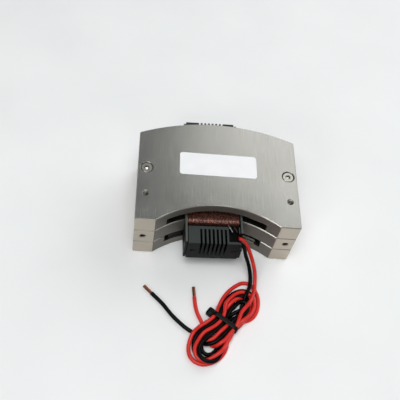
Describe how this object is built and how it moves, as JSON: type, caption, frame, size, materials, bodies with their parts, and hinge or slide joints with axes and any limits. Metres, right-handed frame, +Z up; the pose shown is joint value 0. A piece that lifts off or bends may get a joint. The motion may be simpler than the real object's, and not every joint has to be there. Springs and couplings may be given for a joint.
{
  "type": "rotary voice coil motor",
  "caption": "Limited-angle rotary voice coil motor: arc-shaped magnet yoke stack, flat coil that swings round its centre plate, finned end blocks and tied lead wires.",
  "frame": {"origin": "underside of the lower yoke plate, on the plane of symmetry, half-way between the inner and the outer arc", "axes": "+Z up through the plate stack, parallel to the swing axis; +Y from the swing axis towards the outer arc; +X to the right seen from the front, along the stack's width"},
  "size_m": [0.095, 0.1526, 0.0381],
  "materials": {
    "nickel_plate": "satin nickel plate over ground steel",
    "magnet": "bright nickel plate",
    "screw_steel": "bright zinc plate",
    "black_anodised": "black anodised, satin",
    "enamelled_copper": "enamelled wire bonded with clear resin",
    "epoxy": "cast, glossy",
    "red_insulation": "smooth extruded",
    "black_insulation": "smooth extruded",
    "bare_copper": "stripped and twisted strands",
    "black_nylon": "moulded, satin"
  },
  "bodies": {
    "stator": {"upper_yoke_plate": "nickel_plate", "centre_yoke_plate": "nickel_plate", "lower_yoke_plate": "nickel_plate", "upper_magnet_left": "magnet", "upper_magnet_right": "magnet", "lower_magnet_left": "magnet", "lower_magnet_right": "magnet", "yoke_screw_left": "screw_steel", "yoke_screw_right": "screw_steel", "dowel_pin_left": "screw_steel", "dowel_pin_right": "screw_steel"},
    "coil_carrier": {"bobbin_core": "black_anodised", "bobbin_flange_left": "black_anodised", "bobbin_flange_right": "black_anodised", "coil_winding": "enamelled_copper", "front_finned_block": "black_anodised", "rear_finned_block": "black_anodised", "lead_potting": "epoxy", "coil_lead_start": "enamelled_copper", "coil_lead_finish": "enamelled_copper", "red_lead": "red_insulation", "black_lead": "black_insulation", "wire_hank": "red_insulation", "red_tail": "red_insulation", "black_tail": "black_insulation", "red_strands": "bare_copper", "black_strands": "bare_copper", "cable_tie": "black_nylon"}
  },
  "joints": [
    {"name": "coil_swing", "type": "hinge", "parent": "stator", "child": "coil_carrier", "pos_m": [0, -0.08875, 0], "axis": [0, 0, 1], "range_deg": [-11.5, 8.5]}
  ]
}
